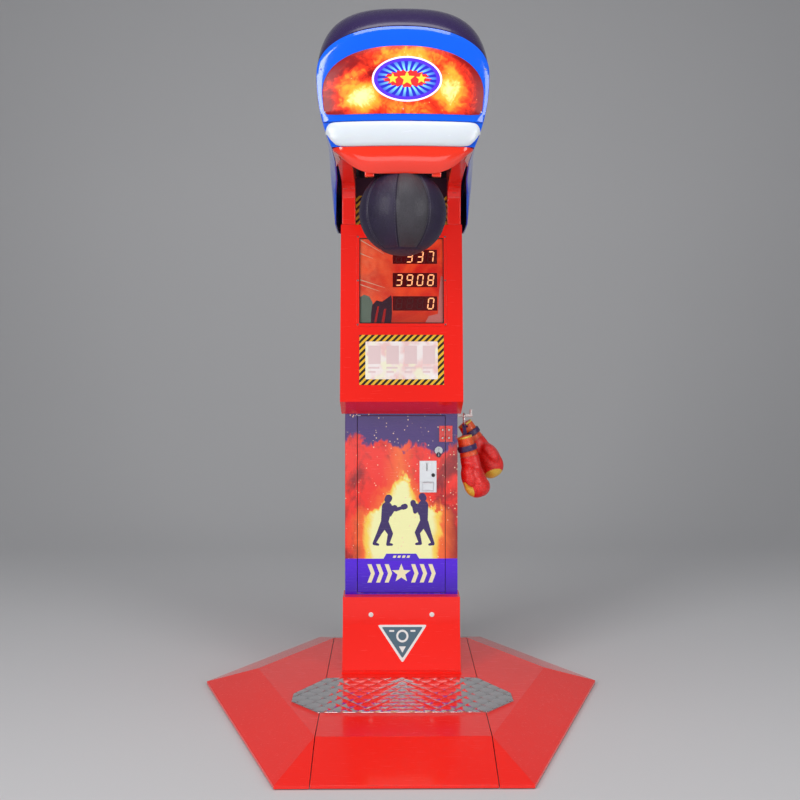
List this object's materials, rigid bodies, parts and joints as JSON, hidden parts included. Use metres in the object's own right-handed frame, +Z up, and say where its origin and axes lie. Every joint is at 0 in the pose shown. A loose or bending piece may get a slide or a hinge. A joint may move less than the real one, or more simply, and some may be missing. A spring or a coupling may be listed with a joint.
{
  "type": "boxing punch machine",
  "caption": "Arcade punch machine: ramped floor platform, sheet steel column with coin door, leaning score box, and an overhanging lit head carrying a swinging leather ball.",
  "frame": {"origin": "middle of the platform's footprint, on the floor", "axes": "+Z up, -Y towards the player, +X to the player's right"},
  "size_m": [1.35, 1.35, 2.22],
  "materials": {
    "frame_black": "satin black powder coat",
    "rubber_black": "matt",
    "red_paint": "gloss red powder coat",
    "tread_aluminium": "raised bar tread",
    "zinc_steel": "zinc plated",
    "print_red": "red coat with a printed sheet at the front",
    "print_door": "printed fire picture",
    "dark_paint": "dark purple coat",
    "bright_chrome": "bright",
    "coin_steel": "satin",
    "black_plastic": "fine texture",
    "flap_steel": "satin",
    "clear_acrylic": "clear",
    "print_score": "back printed sheet",
    "digit_red": "red filter over lit digits",
    "print_plate": "printed plate with a striped border",
    "board_green": "solder mask",
    "grey_metal": "cast",
    "blue_shell": "gloss",
    "purple_shell": "gloss",
    "print_marquee": "back lit print",
    "lamp_white": "lit strips",
    "white_diffuser": "opal, back lit",
    "bowl_red": "gloss",
    "arm_grey": "satin",
    "ball_leather": "black sewn leather",
    "latch_brass": "passivated",
    "glove_red": "red gloss leather"
  },
  "bodies": {
    "cabinet": {"base_frame": "frame_black", "levelling_feet": "rubber_black", "base_centre_panel": "red_paint", "base_left_panel": "red_paint", "base_right_panel": "red_paint", "tread_plate": "tread_aluminium", "panel_screws": "zinc_steel", "mast": "frame_black", "anchor_bolts": "zinc_steel", "column_shell": "print_red", "rear_service_panel": "dark_paint", "kick_box": "red_paint", "door_hinge_pins": "zinc_steel", "jamb_hasp_eye": "red_paint", "cash_box": "dark_paint", "score_box": "red_paint", "score_bezel": "black_plastic", "score_window": "clear_acrylic", "score_board": "print_score", "digit_displays": "digit_red", "instruction_plate": "print_plate", "control_board": "board_green", "power_supply": "grey_metal", "power_inlet": "black_plastic", "speaker": "black_plastic", "arm_left": "red_paint", "arm_right": "red_paint", "bay_back_panel": "dark_paint", "head_frame": "frame_black", "shell_brackets": "frame_black", "side_shell_left": "blue_shell", "side_shell_right": "blue_shell", "head_top_cap": "purple_shell", "head_rear_cover": "purple_shell", "head_front_frame": "blue_shell", "marquee_panel": "print_marquee", "led_lamps": "lamp_white", "white_diffuser": "white_diffuser", "lower_bowl": "bowl_red", "bearing_blocks": "grey_metal", "stop_buffers": "rubber_black", "latch_bracket": "zinc_steel", "latch_solenoid": "black_plastic", "speed_sensor": "black_plastic", "glove_hook": "bright_chrome"},
    "door": {"front_door": "print_door", "door_hasp_eye": "red_paint", "coin_plate": "coin_steel", "coin_mech": "black_plastic"},
    "lock": {"door_lock": "bright_chrome"},
    "reject_button": {"coin_reject_button": "black_plastic"},
    "return_flap": {"coin_return_flap": "flap_steel"},
    "swing": {"pivot_shaft": "zinc_steel", "swing_arm": "arm_grey", "punch_ball": "ball_leather"},
    "catch": {"latch_hook": "latch_brass"},
    "plunger": {"latch_plunger": "zinc_steel"},
    "ring": {"glove_ring": "bright_chrome"},
    "glove_pair": {"glove_left": "glove_red", "glove_right": "glove_red"}
  },
  "joints": [
    {"name": "ball_swing", "type": "hinge", "parent": "cabinet", "child": "swing", "pos_m": [0, -0.276, 1.91], "axis": [1, 0, 0], "range_deg": [0, 88]},
    {"name": "catch_turn", "type": "hinge", "parent": "cabinet", "child": "catch", "pos_m": [0.027, -0.16208, 1.98496], "axis": [1, 0, 0], "range_deg": [0, 20], "stiffness_Nm_per_rad": 0.05},
    {"name": "plunger_slide", "type": "slide", "parent": "cabinet", "child": "plunger", "axis": [0, -1, 0], "range_m": [0, 0.01163]},
    {"name": "door_swing", "type": "hinge", "parent": "cabinet", "child": "door", "pos_m": [-0.148, 0.162, 0.6], "axis": [0, 0, -1], "range_deg": [0, 110]},
    {"name": "lock_turn", "type": "hinge", "parent": "door", "child": "lock", "pos_m": [0.13, 0.158, 0.812], "axis": [0, -1, 0], "range_deg": [0, 90]},
    {"name": "reject_press", "type": "slide", "parent": "door", "child": "reject_button", "axis": [0, 1, 0], "range_m": [0, 0.005], "stiffness_N_per_m": 200},
    {"name": "flap_swing", "type": "hinge", "parent": "door", "child": "return_flap", "pos_m": [0.093, 0.158, 0.6995], "axis": [1, 0, 0], "range_deg": [0, 40]},
    {"name": "ring_lift", "type": "slide", "parent": "cabinet", "child": "ring", "axis": [0, 0, 1], "range_m": [0, 0.025]},
    {"name": "glove_swing", "type": "hinge", "parent": "ring", "child": "glove_pair", "pos_m": [0.226, 0.262, 0.9123], "axis": [1, 0, 0], "range_deg": [-25, 25]}
  ],
  "couplings": [
    {"joint": "plunger_slide", "follows": "catch_turn", "m_per_rad": 0.033313}
  ]
}
